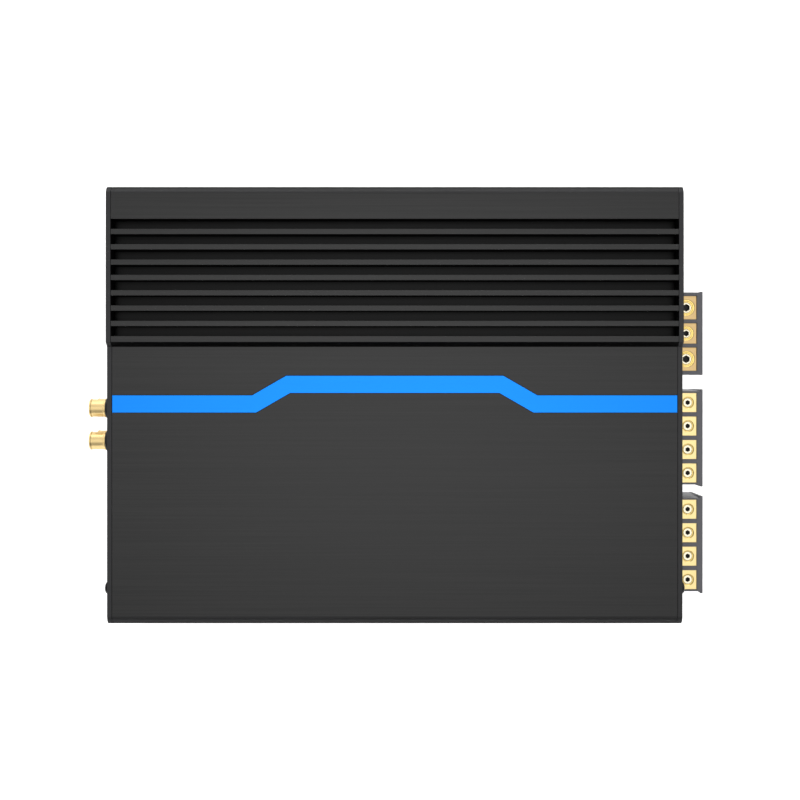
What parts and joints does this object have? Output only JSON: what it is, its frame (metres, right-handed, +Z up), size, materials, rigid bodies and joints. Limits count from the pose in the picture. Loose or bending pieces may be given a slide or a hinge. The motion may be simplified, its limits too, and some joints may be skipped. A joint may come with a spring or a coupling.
{
  "type": "car amplifier",
  "caption": "Flat black car audio amplifier with a finned heatsink along one side, a blue accent stripe, phono inputs on one end and screw terminals on the other.",
  "frame": {"origin": "middle of the underside, on the bottom plate's lower face", "axes": "+X along the case from the input end to the output end, +Y towards the finned side, +Z up out of the top"},
  "size_m": [0.2879, 0.201, 0.05],
  "materials": {
    "black_anodised_aluminium": "brushed and black anodised, satin",
    "black_coated_steel": "fine-textured black powder coat, matt",
    "blue_stripe": "smooth blue enamel, satin",
    "black_screw_steel": "black-oxide steel, satin",
    "dark_grey_plastic": "moulded, semi-gloss",
    "gold_plated_brass": "gold-plated, polished",
    "black_plastic": "moulded, satin",
    "fuse_plastic": "clear-tinted moulding, gloss",
    "board_laminate": "solder-masked laminate, satin",
    "blue_lens": "clear-tinted lens, gloss",
    "white_plastic": "moulded, satin",
    "copper_winding": "enamelled copper wire, gloss",
    "capacitor_sleeve": "shrink sleeve, gloss",
    "bare_aluminium": "milled, satin"
  },
  "bodies": {
    "chassis": {"heatsink_extrusion": "black_anodised_aluminium", "bottom_plate": "black_coated_steel", "input_end_panel": "black_anodised_aluminium", "output_end_panel": "black_anodised_aluminium", "accent_stripe": "blue_stripe", "output_panel_screw_1": "black_screw_steel", "output_panel_screw_2": "black_screw_steel", "output_panel_screw_3": "black_screw_steel", "output_panel_screw_4": "black_screw_steel", "input_panel_screw_1": "black_screw_steel", "input_panel_screw_2": "black_screw_steel", "input_panel_screw_3": "black_screw_steel", "input_panel_screw_4": "black_screw_steel", "power_terminal_housing": "dark_grey_plastic", "speaker_terminal_housing_front": "dark_grey_plastic", "speaker_terminal_housing_rear": "dark_grey_plastic", "power_contact_1": "gold_plated_brass", "power_contact_2": "gold_plated_brass", "power_contact_3": "gold_plated_brass", "speaker_contact_1": "gold_plated_brass", "speaker_contact_2": "gold_plated_brass", "speaker_contact_3": "gold_plated_brass", "speaker_contact_4": "gold_plated_brass", "speaker_contact_5": "gold_plated_brass", "speaker_contact_6": "gold_plated_brass", "speaker_contact_7": "gold_plated_brass", "speaker_contact_8": "gold_plated_brass", "fuse_holder": "black_plastic", "phono_jack_block": "black_plastic", "phono_shell_1": "gold_plated_brass", "phono_shell_2": "gold_plated_brass", "phono_shell_3": "gold_plated_brass", "phono_shell_4": "gold_plated_brass", "control_board": "board_laminate", "power_lamp": "blue_lens", "high_level_input_socket": "white_plastic", "main_circuit_board": "board_laminate", "toroid_transformer": "copper_winding", "reservoir_capacitor_1": "capacitor_sleeve", "reservoir_capacitor_2": "capacitor_sleeve", "output_transistor_bank": "bare_aluminium"},
    "power_set_screw_1": {"power_set_screw_1": "gold_plated_brass"},
    "power_set_screw_2": {"power_set_screw_2": "gold_plated_brass"},
    "power_set_screw_3": {"power_set_screw_3": "gold_plated_brass"},
    "speaker_set_screw_1": {"speaker_set_screw_1": "gold_plated_brass"},
    "speaker_set_screw_2": {"speaker_set_screw_2": "gold_plated_brass"},
    "speaker_set_screw_3": {"speaker_set_screw_3": "gold_plated_brass"},
    "speaker_set_screw_4": {"speaker_set_screw_4": "gold_plated_brass"},
    "speaker_set_screw_5": {"speaker_set_screw_5": "gold_plated_brass"},
    "speaker_set_screw_6": {"speaker_set_screw_6": "gold_plated_brass"},
    "speaker_set_screw_7": {"speaker_set_screw_7": "gold_plated_brass"},
    "speaker_set_screw_8": {"speaker_set_screw_8": "gold_plated_brass"},
    "gain_knob_front": {"gain_knob_front": "black_plastic"},
    "crossover_knob_front": {"crossover_knob_front": "black_plastic"},
    "gain_knob_rear": {"gain_knob_rear": "black_plastic"},
    "crossover_knob_rear": {"crossover_knob_rear": "black_plastic"},
    "crossover_switch_front": {"crossover_switch_front": "black_plastic"},
    "crossover_switch_rear": {"crossover_switch_rear": "black_plastic"},
    "blade_fuse_1": {"blade_fuse_1": "fuse_plastic"},
    "blade_fuse_2": {"blade_fuse_2": "fuse_plastic"}
  },
  "joints": [
    {"name": "power_set_screw_1_travel", "type": "slide", "parent": "chassis", "child": "power_set_screw_1", "axis": [0, 0, -1], "range_m": [0, 0.004]},
    {"name": "power_set_screw_2_travel", "type": "slide", "parent": "chassis", "child": "power_set_screw_2", "axis": [0, 0, -1], "range_m": [0, 0.004]},
    {"name": "power_set_screw_3_travel", "type": "slide", "parent": "chassis", "child": "power_set_screw_3", "axis": [0, 0, -1], "range_m": [0, 0.004]},
    {"name": "speaker_set_screw_1_travel", "type": "slide", "parent": "chassis", "child": "speaker_set_screw_1", "axis": [0, 0, -1], "range_m": [0, 0.0032]},
    {"name": "speaker_set_screw_2_travel", "type": "slide", "parent": "chassis", "child": "speaker_set_screw_2", "axis": [0, 0, -1], "range_m": [0, 0.0032]},
    {"name": "speaker_set_screw_3_travel", "type": "slide", "parent": "chassis", "child": "speaker_set_screw_3", "axis": [0, 0, -1], "range_m": [0, 0.0032]},
    {"name": "speaker_set_screw_4_travel", "type": "slide", "parent": "chassis", "child": "speaker_set_screw_4", "axis": [0, 0, -1], "range_m": [0, 0.0032]},
    {"name": "speaker_set_screw_5_travel", "type": "slide", "parent": "chassis", "child": "speaker_set_screw_5", "axis": [0, 0, -1], "range_m": [0, 0.0032]},
    {"name": "speaker_set_screw_6_travel", "type": "slide", "parent": "chassis", "child": "speaker_set_screw_6", "axis": [0, 0, -1], "range_m": [0, 0.0032]},
    {"name": "speaker_set_screw_7_travel", "type": "slide", "parent": "chassis", "child": "speaker_set_screw_7", "axis": [0, 0, -1], "range_m": [0, 0.0032]},
    {"name": "speaker_set_screw_8_travel", "type": "slide", "parent": "chassis", "child": "speaker_set_screw_8", "axis": [0, 0, -1], "range_m": [0, 0.0032]},
    {"name": "gain_knob_front_turn", "type": "hinge", "parent": "chassis", "child": "gain_knob_front", "pos_m": [-0.132, 0.018, 0.022], "axis": [-1, 0, 0], "range_deg": [-140, 140]},
    {"name": "crossover_knob_front_turn", "type": "hinge", "parent": "chassis", "child": "crossover_knob_front", "pos_m": [-0.132, 0.046, 0.022], "axis": [-1, 0, 0], "range_deg": [-140, 140]},
    {"name": "gain_knob_rear_turn", "type": "hinge", "parent": "chassis", "child": "gain_knob_rear", "pos_m": [-0.132, -0.034, 0.022], "axis": [-1, 0, 0], "range_deg": [-140, 140]},
    {"name": "crossover_knob_rear_turn", "type": "hinge", "parent": "chassis", "child": "crossover_knob_rear", "pos_m": [-0.132, -0.062, 0.022], "axis": [-1, 0, 0], "range_deg": [-140, 140]},
    {"name": "crossover_switch_front_slide", "type": "slide", "parent": "chassis", "child": "crossover_switch_front", "axis": [0, 1, 0], "range_m": [-0.0025, 0.0025]},
    {"name": "crossover_switch_rear_slide", "type": "slide", "parent": "chassis", "child": "crossover_switch_rear", "axis": [0, 1, 0], "range_m": [-0.0025, 0.0025]},
    {"name": "blade_fuse_1_pull", "type": "slide", "parent": "chassis", "child": "blade_fuse_1", "axis": [1, 0, 0], "range_m": [0, 0.014]},
    {"name": "blade_fuse_2_pull", "type": "slide", "parent": "chassis", "child": "blade_fuse_2", "axis": [1, 0, 0], "range_m": [0, 0.014]}
  ]
}
